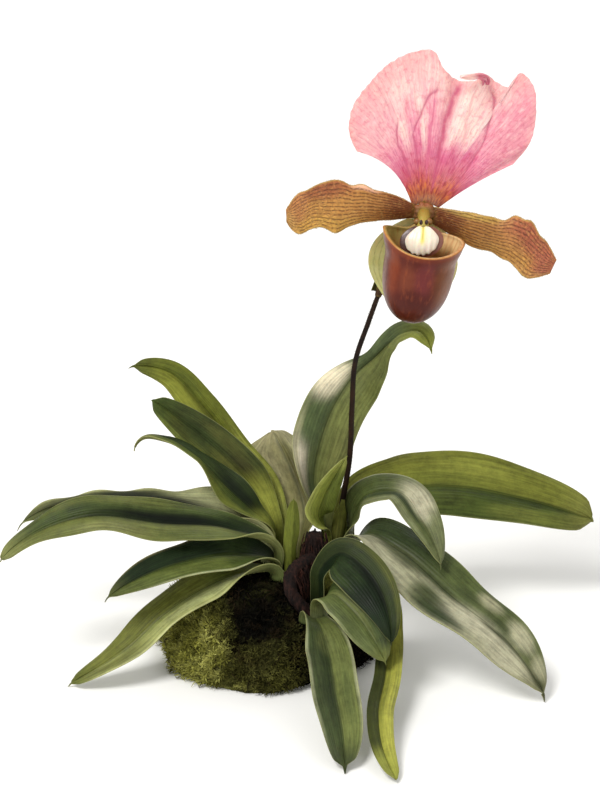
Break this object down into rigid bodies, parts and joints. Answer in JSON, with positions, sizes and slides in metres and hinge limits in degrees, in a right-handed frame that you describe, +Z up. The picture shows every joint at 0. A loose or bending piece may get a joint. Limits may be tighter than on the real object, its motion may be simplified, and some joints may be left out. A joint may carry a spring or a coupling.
{
  "type": "paphiopedilum orchid",
  "caption": "Slipper orchid in flower with strap leaves, lifted with the clump of moss that it grows in.",
  "frame": {"origin": "on the flat underside of the moss clump, between the shoots", "axes": "+Z up, -Y towards the side that the flower faces, +X to the flower's side of the plant"},
  "size_m": [0.2031, 0.1351, 0.2073],
  "materials": {
    "moss_clump": "rough moss and fibre",
    "rhizome": "rough fibrous bark",
    "root": "rough",
    "leaf_left_long": "satin, leathery leaf",
    "leaf_left_front": "satin, leathery leaf",
    "leaf_left_low": "satin, leathery leaf",
    "leaf_spear": "satin, leathery leaf",
    "leaf_left_rear": "satin, leathery leaf",
    "leaf_back_lower": "satin, leathery leaf",
    "leaf_back_middle": "satin, leathery leaf",
    "leaf_back_upper": "satin, leathery leaf",
    "leaf_back_pale": "satin, leathery leaf",
    "leaf_young": "satin, leathery leaf",
    "leaf_upright": "satin, leathery leaf",
    "leaf_right_long": "satin, leathery leaf",
    "leaf_right_arched": "satin, leathery leaf",
    "leaf_right_low": "satin, leathery leaf",
    "leaf_front_dark": "satin, leathery leaf",
    "leaf_front_light": "satin, leathery leaf",
    "leaf_front_narrow": "satin, leathery leaf",
    "leaf_front_tongue": "satin, leathery leaf",
    "scape": "short hairs",
    "scape_sheath": "satin",
    "ovary": "short hairs",
    "bract": "satin",
    "dorsal_sepal": "satin, dark veins",
    "petal_left": "glossy, dark veins and net",
    "petal_right": "glossy, dark veins and net",
    "synsepal": "satin",
    "pouch": "glossy, pale rim",
    "column": "satin",
    "staminode": "glossy, yellow middle"
  },
  "bodies": {
    "root": {"moss_clump": "moss_clump", "rhizome": "rhizome", "root": "root", "leaf_left_long": "leaf_left_long", "leaf_left_front": "leaf_left_front", "leaf_left_low": "leaf_left_low", "leaf_spear": "leaf_spear", "leaf_left_rear": "leaf_left_rear", "leaf_back_lower": "leaf_back_lower", "leaf_back_middle": "leaf_back_middle", "leaf_back_upper": "leaf_back_upper", "leaf_back_pale": "leaf_back_pale", "leaf_young": "leaf_young", "leaf_upright": "leaf_upright", "leaf_right_long": "leaf_right_long", "leaf_right_arched": "leaf_right_arched", "leaf_right_low": "leaf_right_low", "leaf_front_dark": "leaf_front_dark", "leaf_front_light": "leaf_front_light", "leaf_front_narrow": "leaf_front_narrow", "leaf_front_tongue": "leaf_front_tongue", "scape": "scape", "scape_sheath": "scape_sheath", "ovary": "ovary", "bract": "bract", "dorsal_sepal": "dorsal_sepal", "petal_left": "petal_left", "petal_right": "petal_right", "synsepal": "synsepal", "pouch": "pouch", "column": "column", "staminode": "staminode"}
  },
  "joints": []
}
